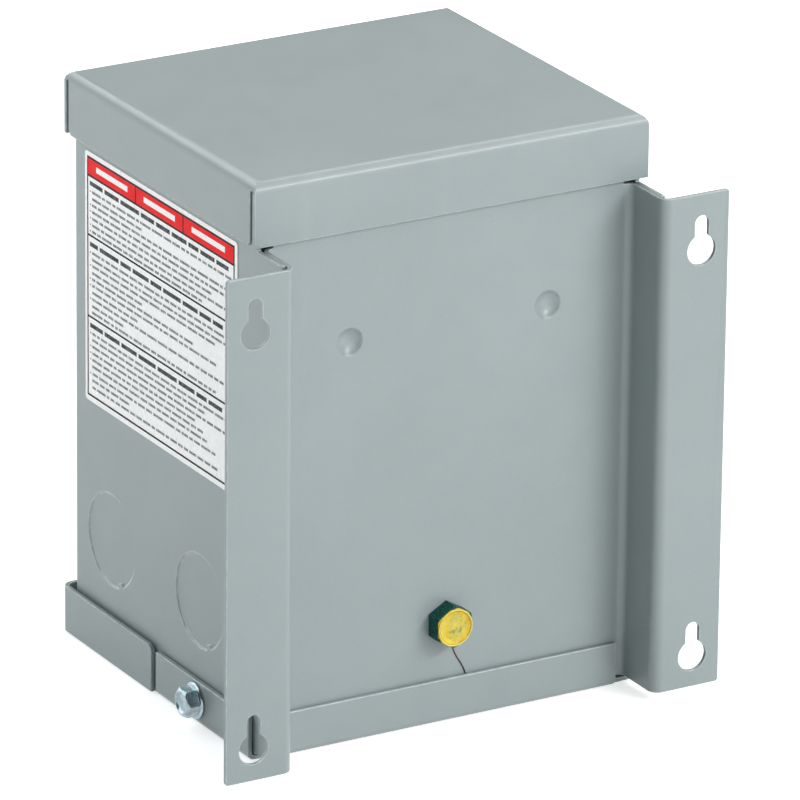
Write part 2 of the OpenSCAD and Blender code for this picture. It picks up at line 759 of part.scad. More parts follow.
// A clamp rail on the front or rear face of the core, side is -1 or 1
module rail(side, z) {
    y = side > 0 ? stack_d / 2 : -stack_d / 2 - rail_t;
    color(steel) translate([0, centre_y, 0]) difference() {
        translate([-lam_w / 2, y, z - rail_h / 2]) cube([lam_w, rail_t, rail_h]);
        core_holes(z, stack_d + 2 * rail_t + 2 * cut);
    }
}

module at_core_bolts() {
    for (s = [-1, 1], z = core_hole_z)
        translate([s * core_hole_x, -stack_d / 2 - rail_t, z]) along_y() children();
}

module core_bolts() {
    shank_l = stack_d + 2 * rail_t + core_head_h;
    color(zinc) translate([0, centre_y, 0]) at_core_bolts() {
        translate([0, 0, -core_head_h]) hex_prism(core_bolt_af, core_head_h);
        cylinder(r = core_bolt_r, h = shank_l);
    }
}

module core_nuts() {
    color(zinc) translate([0, centre_y, 0]) at_core_bolts()
        translate([0, 0, stack_d + 2 * rail_t]) difference() {
            hex_prism(core_bolt_af, core_head_h);
            translate([0, 0, -cut]) cylinder(r = core_bolt_r + pilot_play, h = core_head_h + 2 * cut);
        }
}

// A straight vertical hole for every lead, from z0 to z1
module lead_holes(z0, z1) {
    for (i = [0 : lead_count - 1])
        translate([lead_x(i), lead_side(i) * lead_y, z0]) cylinder(r = lead_r + lead_play, h = z1 - z0);
}

// The space inside the case, as a block from z0 to z1
module case_block(z0, z1) {
    inset = sheet + fill_gap;
    translate([0, 0, z0]) linear_extrude(z1 - z0)
        round_rect(case_w - 2 * inset, case_d - 2 * inset, wrap_bend_r - inset);
}

module barrier_plate() {
    color("burlywood") translate([0, centre_y, 0]) difference() {
        case_block(barrier_z0, barrier_z0 + barrier_t);
        lead_holes(barrier_z0 - cut, barrier_z0 + barrier_t + cut);
    }
}

module potting() {
    coil_w = bobbin_in_w + 2 * flange_reach;
    coil_d = bobbin_in_d + 2 * flange_reach;
    coil_corner = winding_corner + primary_build + secondary_build + wrap_t;
    color("dimgray") translate([0, centre_y, 0]) difference() {
        case_block(potting_z0, potting_z1);
        core_e_body();
        core_i_body();
        bobbin_body();
        translate([0, 0, coil_z0 - 2 * layer_gap]) linear_extrude(coil_z1 - coil_z0 + 4 * layer_gap)
            round_rect(coil_w, coil_d, coil_corner);
        // The bobbin's play round the tongue and against the core
        translate([-bobbin_in_w / 2, -bobbin_in_d / 2, window_z0]) cube([bobbin_in_w, bobbin_in_d, window_h]);
        for (z = core_hole_z)
            translate([-lam_w / 2, -stack_d / 2 - rail_t, z - rail_h / 2])
                cube([lam_w, stack_d + 2 * rail_t, rail_h]);
        at_core_bolts() translate([0, 0, -core_head_h - fill_gap])
            hex_prism(core_bolt_af + 2 * fill_gap, stack_d + 2 * (rail_t + core_head_h + fill_gap));
        lead_holes(potting_z0 - cut, window_z0 + bobbin_play);
        for (s = [-1, 1])
            translate([s * dimple_dx / 2, back_y - sheet, dimple_z]) rotate([90, 0, 0]) translate([0, 0, -cut])
                cylinder(r = dimple_r + sheet, h = dimple_depth + fill_gap + cut);
    }
}

// A quarter bend of a lead in the X and Z plane, from straight down on +X to level at the bottom
module lead_bend() {
    rotate([90, 0, 0]) rotate(-90) rotate_extrude(angle = 90) translate([lead_bend_r, 0]) circle(lead_r);
}

// Places a lead so that it hangs at x = 0 and runs towards -X
module at_lead(i) {
    translate([lead_x(i), centre_y + lead_side(i) * lead_y, 0]) rotate(lead_side(i) * 90) children();
}

// One lead: straight down from the coil, a bend, a level run, a bend and a short rise
module lead(i) {
    bend_z = lead_run_z + lead_bend_r;
    color(lead_colors[i]) at_lead(i) {
        translate([0, 0, bend_z]) cylinder(r = lead_r, h = bobbin_z0 - bend_z);
        translate([-lead_bend_r, 0, bend_z]) lead_bend();
        translate([-lead_bend_r - lead_run_l, 0, lead_run_z]) along_x() cylinder(r = lead_r, h = lead_run_l);
        translate([-lead_bend_r - lead_run_l, 0, bend_z]) mirror([1, 0, 0]) lead_bend();
        translate([-lead_span, 0, bend_z]) cylinder(r = lead_r, h = lead_end_z - bend_z);
    }
}

module lead_tips() {
    color("silver") for (i = [0 : lead_count - 1])
        at_lead(i) translate([-lead_span, 0, lead_end_z]) cylinder(r = lead_tip_r, h = lead_tip_l);
}

top_cover();
case_wrap();
back_panel();
bottom_pan();
pan_screws();
side_label();
ground_bolt();
ground_lockwasher();
ground_nut();
core_e_stack();
core_i_stack();
bobbin();
primary_winding();
secondary_winding();
coil_wrap();
rail(-1, core_hole_z[1]);  // rail_top_front
rail(1, core_hole_z[1]);  // rail_top_rear
rail(-1, core_hole_z[0]);  // rail_bottom_front
rail(1, core_hole_z[0]);  // rail_bottom_rear
core_bolts();
core_nuts();
barrier_plate();
potting();
for (i = [0 : lead_count - 1])
    lead(i);
lead_tips();
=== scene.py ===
import math
import random

import bmesh
import bpy
from mathutils import Matrix, Vector
from mathutils.bvhtree import BVHTree

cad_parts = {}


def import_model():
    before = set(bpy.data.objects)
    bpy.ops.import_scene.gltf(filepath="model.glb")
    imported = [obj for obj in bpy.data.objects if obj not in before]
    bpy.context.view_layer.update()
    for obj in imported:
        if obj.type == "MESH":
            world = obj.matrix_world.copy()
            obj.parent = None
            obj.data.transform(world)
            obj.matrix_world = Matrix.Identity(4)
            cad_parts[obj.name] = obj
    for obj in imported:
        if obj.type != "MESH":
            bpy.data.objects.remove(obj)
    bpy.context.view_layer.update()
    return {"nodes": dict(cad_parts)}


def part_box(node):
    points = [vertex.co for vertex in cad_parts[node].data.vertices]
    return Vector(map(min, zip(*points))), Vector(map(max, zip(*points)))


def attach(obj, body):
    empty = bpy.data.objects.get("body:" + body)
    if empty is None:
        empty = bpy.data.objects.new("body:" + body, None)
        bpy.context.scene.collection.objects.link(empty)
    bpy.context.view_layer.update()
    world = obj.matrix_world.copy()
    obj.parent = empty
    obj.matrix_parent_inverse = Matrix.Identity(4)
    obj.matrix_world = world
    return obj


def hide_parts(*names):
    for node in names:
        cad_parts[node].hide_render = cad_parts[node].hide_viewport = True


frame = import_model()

MM = 0.001
# The case's own middle plane lies this far from the part's Y = 0, in mm
SHIFT = -6.7
NODES = frame["nodes"]
scene = bpy.context.scene


def srgb(r, g, b):
    """A colour given as 0 to 255 in sRGB, as linear RGBA."""
    def linear(c):
        c /= 255
        return c / 12.92 if c <= 0.04045 else ((c + 0.055) / 1.055) ** 2.4
    return (linear(r), linear(g), linear(b), 1)


# ---- node helpers ----

class Graph:
    """A small builder for a node material that works in the object's own metres."""

    def __init__(self, name):
        self.material = bpy.data.materials.new(name)
        self.material.use_nodes = True
        self.tree = self.material.node_tree
        self.tree.nodes.clear()
        self.out = self.new("ShaderNodeOutputMaterial")
        self.coords = self.new("ShaderNodeTexCoord").outputs["Object"]

    def new(self, kind, **settings):
        node = self.tree.nodes.new(kind)
        for key, value in settings.items():
            setattr(node, key, value)
        return node

    def link(self, value, socket):
        if isinstance(value, bpy.types.NodeSocket):
            self.tree.links.new(value, socket)
        else:
            socket.default_value = value

    def mapped(self, scale=(1, 1, 1), offset=(0, 0, 0)):
        node = self.new("ShaderNodeMapping")
        self.link(self.coords, node.inputs["Vector"])
        node.inputs["Scale"].default_value = scale
        node.inputs["Location"].default_value = offset
        return node.outputs[0]

    def noise(self, size, detail=3.0, rough=0.5, vector=None, distort=0.0):
        """Noise from 0 to 1, whose features are about size millimetres across."""
        node = self.new("ShaderNodeTexNoise")
        self.link(self.coords if vector is None else vector, node.inputs["Vector"])
        node.inputs["Scale"].default_value = 1 / (size * MM)
        node.inputs["Detail"].default_value = detail
        node.inputs["Roughness"].default_value = rough
        node.inputs["Distortion"].default_value = distort
        return node.outputs["Fac"]

    def cells(self, size):
        """The distance to the nearest of points that lie about size millimetres apart."""
        node = self.new("ShaderNodeTexVoronoi", feature="F1")
        self.link(self.coords, node.inputs["Vector"])
        node.inputs["Scale"].default_value = 1 / (size * MM)
        return node.outputs["Distance"]

    def math(self, op, a, b, clamp=False):
        node = self.new("ShaderNodeMath", operation=op, use_clamp=clamp)
        for value, socket in zip((a, b), node.inputs):
            self.link(value, socket)
        return node.outputs[0]

    def span(self, value, low, high, to_low=0.0, to_high=1.0):
        """Maps low..high to to_low..to_high, smoothly and clamped."""
        node = self.new("ShaderNodeMapRange", interpolation_type="SMOOTHSTEP")
        for v, s in zip((value, low, high, to_low, to_high), node.inputs):
            self.link(v, s)
        return node.outputs[0]

    def mix(self, fac, a, b, blend="MIX"):
        node = self.new("ShaderNodeMix", data_type="RGBA", blend_type=blend)
        self.link(fac, node.inputs[0])
        self.link(a, node.inputs[6])
        self.link(b, node.inputs[7])
        return node.outputs[2]

    def attribute(self, name):
        return self.new("ShaderNodeAttribute", attribute_name=name).outputs["Fac"]

    def bump(self, height, depth, normal=None):
        """Bump with height 0 to 1 standing for depth millimetres."""
        node = self.new("ShaderNodeBump")
        self.link(height, node.inputs["Height"])
        node.inputs["Strength"].default_value = 1.0
        node.inputs["Distance"].default_value = depth * MM
        if normal is not None:
            self.link(normal, node.inputs["Normal"])
        return node.outputs[0]

    def finish(self, color, rough, normal=None, **constants):
        shader = self.new("ShaderNodeBsdfPrincipled")
        self.link(color, shader.inputs["Base Color"])
        self.link(rough, shader.inputs["Roughness"])
        if normal is not None:
            self.link(normal, shader.inputs["Normal"])
        for key, value in constants.items():
            shader.inputs[key.replace("_", " ")].default_value = value
        self.tree.links.new(shader.outputs[0], self.out.inputs["Surface"])
        return self.material


# ---- materials ----

def paint_material():
    """Grey semi-gloss powder coat: soft mottling, orange peel, a little dust, thin edges lightened by a
    painted highlight that is partly also worn paint.
    """
    g = Graph("paint_grey")
    broad = g.noise(55, 2)
    cloud = g.noise(9, 4, 0.55)
    fine = g.noise(0.9, 2)
    color = g.mix(g.span(broad, 0.3, 0.7), srgb(146, 157, 158), srgb(150, 161, 162))
    color = g.mix(g.span(cloud, 0.35, 0.7, 0, 0.22), color, srgb(141, 153, 154))
    color = g.mix(g.span(fine, 0.4, 0.75, 0, 0.2), color, srgb(155, 166, 167))
    # Long faint wipe marks
    wipe = g.noise(14, 3, 0.6, g.mapped((1, 1, 0.12)), 0.4)
    color = g.mix(g.span(wipe, 0.62, 0.8, 0, 0.16), color, srgb(164, 174, 174))
    # Dust: one small speck in a few of the cells
    speck = g.span(g.cells(5.5), 0.016, 0.03, 1, 0)
    keep = g.span(g.noise(17, 1), 0.56, 0.62)
    dust = g.math("MULTIPLY", speck, keep)
    color = g.mix(g.math("MULTIPLY", dust, 0.75), color, srgb(214, 219, 218))
    # Painted highlight on the rounded sheet edges, partly also worn paint, broken up by noise
    edge = g.attribute("edge")
    edge_highlight_and_wear = g.math("MULTIPLY", edge, g.span(g.noise(3.2, 3), 0.35, 0.7, 0.35, 0.85))
    color = g.mix(edge_highlight_and_wear, color, srgb(206, 213, 212))
    rough = g.math("ADD", g.span(cloud, 0.3, 0.7, 0.29, 0.34), g.math("MULTIPLY", dust, 0.3))
    rough = g.math("SUBTRACT", rough, g.math("MULTIPLY", edge, 0.06))
    peel = g.bump(g.noise(1.6, 2, 0.4), 0.012)
    wave = g.bump(g.noise(24, 1), 0.035, peel)
    return g.finish(color, rough, wave, Specular_IOR_Level=0.55)


def zinc_material():
    """Bright zinc plate with a cool tint, faint yellow patches and fine scratches."""
    g = Graph("zinc_plate")
    color = g.mix(g.span(g.noise(3, 3), 0.35, 0.7), srgb(184, 193, 200), srgb(146, 160, 170))
    straw = g.noise(2.2, 2, 0.5, g.mapped(offset=(0.4, 0, 0)))
    color = g.mix(g.span(straw, 0.55, 0.75, 0, 0.45), color, srgb(206, 202, 176))
    teal = g.noise(2.6, 2, 0.5, g.mapped(offset=(0, 0.7, 0)))
    color = g.mix(g.span(teal, 0.5, 0.68, 0, 0.7), color, srgb(150, 192, 196))
    color = g.mix(g.span(g.noise(0.5, 2), 0.62, 0.8, 0, 0.5), color, srgb(128, 138, 146))
    scratch = g.noise(0.5, 2, 0.6, g.mapped((1, 6, 1)))
    rough = g.span(scratch, 0.3, 0.75, 0.16, 0.36)
    normal = g.bump(scratch, 0.01)
    return g.finish(color, rough, normal, Metallic=1.0)


def bolt_material():
    """Dark green lacquer with painted glints on the flanks, worn yellow on the face with painted shade
    in its groove and a painted highlight on its rim, a wavy border between them.
    """
    g = Graph("bolt_green_yellow")
    face = g.attribute("face")
    wobble = g.noise(2.4, 3, 0.6)
    mask = g.span(g.math("ADD", face, g.math("MULTIPLY", wobble, 0.8)), 0.86, 0.94)
    grain = g.noise(0.45, 3, 0.7)
    green = g.mix(g.span(grain, 0.4, 0.7), srgb(0, 50, 44), srgb(0, 112, 98))
    # Painted glints: small light specks on the green
    painted_sparkle = g.span(g.cells(0.55), 0.12, 0.24, 1, 0)
    painted_sparkle = g.math("MULTIPLY", painted_sparkle, g.span(g.noise(1.3, 1), 0.4, 0.55, 0, 0.8))
    green = g.mix(painted_sparkle, green, srgb(120, 190, 176))
    yellow = g.mix(g.span(g.noise(1.9, 3), 0.3, 0.7), srgb(232, 208, 72), srgb(222, 184, 50))
    smear = g.attribute("smear")
    thin = g.math("MULTIPLY", smear, g.span(g.noise(3.4, 4, 0.6), 0.42, 0.6))
    yellow = g.mix(g.math("MULTIPLY", thin, 0.75), yellow, srgb(190, 190, 112))
    bare = g.math("MULTIPLY", thin, g.span(g.noise(1.1, 3), 0.52, 0.66, 0, 0.7))
    yellow = g.mix(bare, yellow, srgb(112, 134, 66))
    # Painted shade in the groove at the foot of the rim
    groove_shade = g.attribute("groove_shade")
    groove_shade = g.math("MULTIPLY", groove_shade, g.span(wobble, 0.25, 0.6, 0.25, 0.75))
    yellow = g.mix(groove_shade, yellow, srgb(138, 128, 40))
    # Painted highlight along the top of the raised rim
    rim = g.attribute("rim")
    rim = g.math("MULTIPLY", rim, g.span(wobble, 0.2, 0.6, 0.4, 0.9))
    yellow = g.mix(rim, yellow, srgb(253, 240, 150))
    color = g.mix(mask, green, yellow)
    rough = g.math("ADD", g.span(grain, 0.3, 0.8, 0.34, 0.55), g.math("MULTIPLY", mask, -0.06))
    normal = g.bump(grain, 0.12, g.bump(g.noise(1.5, 2), 0.12))
    return g.finish(color, rough, normal, Specular_IOR_Level=0.16)


def film_material():
    """White vinyl film with a faint unevenness and slightly dirty edges."""
    g = Graph("label_white")
    color = g.mix(g.span(g.noise(12, 3), 0.35, 0.7), srgb(254, 253, 252), srgb(251, 250, 249))
    edge = g.attribute("edge")
    color = g.mix(g.math("MULTIPLY", edge, 0.4), color, srgb(200, 204, 204))
    rough = g.span(g.noise(6, 3), 0.3, 0.7, 0.24, 0.34)
    normal = g.bump(g.noise(5, 2), 0.015)
    return g.finish(color, rough, normal, Specular_IOR_Level=1.0)


def ink_material(name, main, thin, size=1.6):
    """Printed ink that lets a little of the film through."""
    g = Graph(name)
    color = g.mix(g.span(g.noise(size, 3, 0.6), 0.42, 0.72), main, thin)
    rough = g.span(g.noise(4, 2), 0.3, 0.7, 0.5, 0.62)
    return g.finish(color, rough, g.bump(g.noise(0.5, 2), 0.004), Specular_IOR_Level=0.12)


def plain_material(name, main, second, size, rough, depth=0.02, metallic=0.0, stretch=(1, 1, 1)):
    """A two-tone surface with its own grain, for the pieces inside the case."""
    g = Graph(name)
    vector = g.mapped(stretch)
    grain = g.noise(size, 4, 0.6, vector)
    color = g.mix(g.span(grain, 0.3, 0.7), main, second)
    r = g.span(g.noise(size * 0.6, 3, 0.6, vector), 0.3, 0.7, rough - 0.07, rough + 0.07)
    return g.finish(color, r, g.bump(grain, depth), Metallic=metallic)


PAINT = paint_material()
ZINC = zinc_material()
BOLT = bolt_material()
FILM = film_material()
BLACK_INK = ink_material("ink_black", srgb(10, 10, 12), srgb(30, 30, 32))
RED_INK = ink_material("ink_red", srgb(255, 34, 40), srgb(255, 48, 52), 6)
GREY_INK = ink_material("ink_grey", srgb(130, 130, 136), srgb(196, 196, 202), 0.7)
DARK_INK = ink_material("ink_dark", srgb(50, 50, 54), srgb(124, 124, 130), 0.7)


# ---- mesh helpers ----

def add_object(name, mesh):
    obj = bpy.data.objects.new(name, mesh)
    scene.collection.objects.link(obj)
    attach(obj, "root")
    return obj


DIMPLE_X = 31.7 * MM
DIMPLE_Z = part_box("top_cover")[0][2] - 32.9 * MM
DIMPLE_REACH = 6 * MM
# Vertices nearer than this are one, and faces that meet flatter than this are one
MERGE = 0.002 * MM
FLAT_ANGLE = math.radians(0.4)
# Edges sharper than this are rounded
EDGE_ANGLE = math.radians(30)
EDGE_SEGMENTS = 2
NORMAL_WEIGHT = 60


def in_dimple(point):
    """The rims of the pressed dimples are soft, so they get no painted edge highlight and no wear."""
    return math.hypot(abs(point.x) - DIMPLE_X, point.z - DIMPLE_Z) < DIMPLE_REACH


def dressed(node, material, width, highlight_wear_and_dirt=1.0):
    """Replaces a CAD node by its own mesh with softly rounded sheet edges.
    Its attribute edge is the edge mark on the rounding (painted highlight and wear on paint, dirt on
    film) and 0 elsewhere."""
    bm = bmesh.new()
    bm.from_mesh(NODES[node].data)
    bmesh.ops.remove_doubles(bm, verts=bm.verts, dist=MERGE)
    bmesh.ops.dissolve_limit(bm, angle_limit=FLAT_ANGLE, verts=bm.verts, edges=bm.edges,
                             delimit={"NORMAL"})
    bm.normal_update()
    sharp = [e for e in bm.edges if len(e.link_faces) == 2 and e.calc_face_angle(0) > EDGE_ANGLE]
    layer = bm.faces.layers.int.new("rounding")
    solid = BVHTree.FromBMesh(bm)
    low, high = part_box(node)
    made = bmesh.ops.bevel(bm, geom=sharp, offset=width * MM, offset_type="OFFSET",
                           segments=EDGE_SEGMENTS, profile=0.5, affect="EDGES",
                           clamp_overlap=False, loop_slide=True, miter_outer="SHARP")
    for face in made["faces"]:
        face[layer] = 1
    # Where a mitre fades out, the rounding can throw a vertex off: it goes back to the solid
    for vert in bm.verts:
        near, _, _, away = solid.find_nearest(vert.co)
        if away > width * MM / 2:
            vert.co = near
        vert.co = Vector([min(max(c, a), b) for c, a, b in zip(vert.co, low, high)])
    for face in bm.faces:
        face.smooth = True
    mesh = bpy.data.meshes.new("skin_" + node)
    bm.to_mesh(mesh)
    flags = [f[layer] and not in_dimple(f.calc_center_median()) for f in bm.faces]
    bm.free()
    mesh.attributes.remove(mesh.attributes["rounding"])
    attribute = mesh.attributes.new("edge", "FLOAT", "CORNER")
    for polygon, flag in zip(mesh.polygons, flags):
        for loop in polygon.loop_indices:
            # Strength of the edge mark: painted highlight and wear on paint, dirt on film
            attribute.data[loop].value = flag * highlight_wear_and_dirt
    mesh.materials.clear()
    mesh.materials.append(material)
    for polygon in mesh.polygons:
        polygon.material_index = 0
    mesh.set_sharp_from_angle(angle=EDGE_ANGLE)
    obj = add_object("skin_" + node, mesh)
    weight = obj.modifiers.new("normals", "WEIGHTED_NORMAL")
    weight.keep_sharp = True
    weight.weight = NORMAL_WEIGHT
    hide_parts(node)


# ---- enclosure ----

# Each sheet: its node, the width of its rounded edges in mm, the strength of the painted highlight and
# wear on them
SHEETS = (("top_cover", 0.34, 0.7), ("case_wrap", 0.26, 1.0), ("back_panel", 0.32, 0.55),
          ("bottom_pan", 0.32, 0.7))
FILM_EDGE = 0.06
for name, width, highlight_wear_and_dirt in SHEETS:
    dressed(name, PAINT, width, highlight_wear_and_dirt)
dressed("side_label", FILM, FILM_EDGE)


# ---- print on the sticker ----

class Print:
    """Flat shapes that lie on the sticker, drawn in Y and Z in millimetres."""

    def __init__(self, x):
        self.bm = bmesh.new()
        self.x = x

    def bar(self, y0, z0, y1, z1, ink):
        corners = ((y0, z0), (y1, z0), (y1, z1), (y0, z1))
        verts = [self.bm.verts.new((self.x, y * MM, z * MM)) for y, z in corners]
        face = self.bm.faces.new(verts)
        face.material_index = ink

    def frame(self, y0, z0, y1, z1, width, ink):
        self.bar(y0, z0, y1, z0 + width, ink)
        self.bar(y0, z1 - width, y1, z1, ink)
        self.bar(y0, z0 + width, y0 + width, z1 - width, ink)
        self.bar(y1 - width, z0 + width, y1, z1 - width, ink)

    def dashes(self, rng, y0, y1, z, height, lengths, space, ink):
        """A row of plain bars of uneven length, which stands for a line of small print."""
        y = y0
        while y < y1 - lengths[0]:
            end = min(y + rng.uniform(*lengths), y1)
            self.bar(y, z, end, z + height, ink)
            y = end + space

    def object(self, name, inks):
        mesh = bpy.data.meshes.new(name)
        self.bm.to_mesh(mesh)
        self.bm.free()
        for ink in inks:
            mesh.materials.append(ink)
        return add_object(name, mesh)


LABEL_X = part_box("side_label")[1][0]
# The print lies this far off the film, in mm
PRINT_LIFT = 0.03
BLACK, RED, GREY, DARK = range(4)
FRAME = dict(y0=-44.5 + SHIFT, z0=76.5, y1=41.6 + SHIFT, z1=148.5)
BAND_Z = 142.5
BAR_Z, BAR_H = 144.75, 1.7
BAR_SHARE = 0.33
RULES = (124.7, 100.25)
DIVIDERS = (-15.7 + SHIFT, 12.05 + SHIFT)
LINE = 0.6
TEXT_Y0 = -42.9 + SHIFT
TEXT_INDENT = 1.3
TEXT_END = 40.4 + SHIFT
TEXT_H, TEXT_LENGTHS, TEXT_SPACE = 0.78, (1.4, 6.2), 0.75
HEADING_H, HEADING_LENGTHS, HEADING_SPACE = 1.3, (4.5, 11.5), 1.1
HEADING_RISE, HEADING_MARGIN = 0.1, 2.2
BULLET_W, BULLET_Z0, BULLET_Z1 = 0.6, 0.25, 0.6
# Each block: height of its heading, then (height, ends at, starts with a dash) of its lines
BLOCKS = (
    (139.9, ((137.8, 39.8, 1), (135.8, -12.3, 0), (133.9, 39.0, 1), (131.9, 38.6, 1),
             (129.9, 29.3, 1), (127.9, 38.8, 1), (126.0, 24.3, 1))),
    (121.7, ((119.6, 36.0, 1), (117.6, 38.6, 0), (115.7, 31.3, 1), (113.6, -11.6, 0),
             (111.7, 19.6, 1), (109.8, 32.3, 1), (107.7, -14.6, 0), (105.7, 35.6, 1),
             (103.6, -23.0, 0), (101.7, 31.0, 0))),
    (97.3, ((95.3, 38.6, 1), (93.4, 24.6, 0), (91.4, 39.0, 1), (89.4, 20.3, 1), (87.4, 24.6, 1),
            (85.4, 26.0, 0), (83.2, 31.0, 1), (81.2, -19.6, 0), (79.1, 33.6, 0))),
)


def build_print():
    rng = random.Random(11)
    p = Print(LABEL_X + PRINT_LIFT * MM)
    f = FRAME
    cells = (f["y0"] + LINE, DIVIDERS[0], DIVIDERS[1], f["y1"] - LINE)
    for a, b in zip(cells, cells[1:]):
        y0, y1 = a + (LINE / 2 if a != cells[0] else 0), b - (LINE / 2 if b != cells[-1] else 0)
        # The red in four fields, round a bar where the white film stays bare
        middle, half = (a + b) / 2, (b - a) * BAR_SHARE
        p.bar(y0, BAND_Z + LINE, y1, BAR_Z, RED)
        p.bar(y0, BAR_Z + BAR_H, y1, f["z1"] - LINE, RED)
        p.bar(y0, BAR_Z, middle - half, BAR_Z + BAR_H, RED)
        p.bar(middle + half, BAR_Z, y1, BAR_Z + BAR_H, RED)
    for y in DIVIDERS:
        p.bar(y - LINE / 2, BAND_Z + LINE, y + LINE / 2, f["z1"] - LINE, BLACK)
    p.frame(f["y0"], f["z0"], f["y1"], f["z1"], LINE, BLACK)
    for z in (BAND_Z,) + RULES:
        p.bar(f["y0"] + LINE, z, f["y1"] - LINE, z + LINE, BLACK)
    for heading, lines in BLOCKS:
        p.dashes(rng, TEXT_Y0, TEXT_END - HEADING_MARGIN, heading + HEADING_RISE, HEADING_H,
                 HEADING_LENGTHS, HEADING_SPACE, DARK)
        for z, end, dash in lines:
            if dash:
                p.bar(TEXT_Y0, z + BULLET_Z0, TEXT_Y0 + BULLET_W, z + BULLET_Z1, DARK)
            p.dashes(rng, TEXT_Y0 + TEXT_INDENT, min(end + SHIFT, TEXT_END), z, TEXT_H,
                     TEXT_LENGTHS, TEXT_SPACE, GREY)
    p.object("label_print", (BLACK_INK, RED_INK, GREY_INK, DARK_INK))


build_print()


# ---- turned and hexagonal heads ----

def hex_radius(across_flats, turn=0.0):
    """The distance from a hexagon's middle to its side, for an angle in radians."""
    def radius(angle):
        a = (angle - turn) % (math.pi / 3) - math.pi / 6
        return across_flats / 2 / math.cos(a)
    return radius


RING_STEPS = 144
HEAD_SHARP = math.radians(32)


def lofted(name, rings, matrix, material, values=()):
    """A closed solid from rings of (height, radius or function of the angle), placed by matrix.
    values names float attributes and gives each a function of (radius, height)."""
    bm = bmesh.new()
    layers = [(bm.verts.layers.float.new(key), fn) for key, fn in values]

    def vert(r, angle, z):
        point = Vector((r * MM * math.cos(angle), r * MM * math.sin(angle), z * MM))
        v = bm.verts.new(matrix @ point)
        for layer, fn in layers:
            v[layer] = fn(r, z)
        return v

    angles = [2 * math.pi * i / RING_STEPS for i in range(RING_STEPS)]
    loops = []
    for z, radius in rings:
        loops.append([vert(radius(a) if callable(radius) else radius, a, z) for a in angles])
    for low, high in zip(loops, loops[1:]):
        for i in range(RING_STEPS):
            j = (i + 1) % RING_STEPS
            bm.faces.new((low[i], low[j], high[j], high[i]))
    first, last = vert(0, 0, rings[0][0]), vert(0, 0, rings[-1][0])
    for i in range(RING_STEPS):
        j = (i + 1) % RING_STEPS
        bm.faces.new((first, loops[0][j], loops[0][i]))
        bm.faces.new((last, loops[-1][i], loops[-1][j]))
    for face in bm.faces:
        face.smooth = True
    bmesh.ops.recalc_face_normals(bm, faces=bm.faces)
    mesh = bpy.data.meshes.new(name)
    bm.to_mesh(mesh)
    bm.free()
    mesh.materials.append(material)
    mesh.set_sharp_from_angle(angle=HEAD_SHARP)
    return add_object(name, mesh)


def band(low, high, soft):
    """1 between low and high, falling to 0 over soft on both sides."""
    def value(r, z):
        if low <= r <= high:
            return 1.0
        away = low - r if r < low else r - high
        return max(0.0, 1 - away / soft)
    return value


def ground_bolt():
    lo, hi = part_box("ground_bolt")
    af = hi[0] - lo[0]
    af_mm = af / MM
    centre = Vector(((lo[0] + hi[0]) / 2, hi[1], (lo[2] + hi[2]) / 2))
    head, shank = 5.9, 16.0
    # Local z runs out of the panel, local x to the part's +X, so the points are up and down
    base = centre - Vector((0, head * MM, 0))
    matrix = Matrix.Translation(base) @ Matrix.Rotation(-math.pi / 2, 4, "X")
    hexa = hex_radius(af_mm - 0.02, math.pi / 6)
    corner = af_mm / math.sqrt(3)
    rings = [(-shank, 3.1), (0, 3.15), (0.0, lambda a: hexa(a) - 0.25), (0.2, hexa)]
    # Chamfer towards the face: the corners fall away first
    for k in range(7):
        r = corner - (corner - af_mm / 2 - 0.02) * (k / 6)
        rings.append((head - 1.2 + 0.8 * (k / 6) ** 0.8, lambda a, r=r: min(hexa(a), r)))
    # The raised rim, then the slope down into the dish: depth below the top, distance from the rim
    rim = af_mm / 2
    rings += [(head - down, rim - inward) for down, inward in (
        (0.12, 0.08), (0, 0.24), (0.04, 0.36), (0.24, 0.5), (0.42, 0.9), (0.6, 1.3), (0.75, 1.7))]
    rings += [(head - 0.8, 3.2), (head - 0.75, 2.3), (head - 0.8, 1.0)]

    def yellow(r, z):
        """1 on the face and in the dish, fading out down the chamfer."""
        if z > head - 0.1 or (r < rim - 0.05 and z > head - 1):
            return 1.0
        return min(1.0, max(0.0, (z - head + 0.9) / 0.85))

    # The top of the raised rim, which gets the painted highlight
    def rim_highlight_mask(r, z):
        return 1.0 if z > head - 0.06 and r < rim - 0.1 else 0.0

    values = (("face", yellow), ("smear", band(0.8, 3.6, 0.9)),
              ("groove_shade", band(rim - 0.52, rim - 0.48, 0.14)), ("rim", rim_highlight_mask))
    bolt = lofted("ground_bolt_head", rings, matrix, BOLT, values)
    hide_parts("ground_bolt")


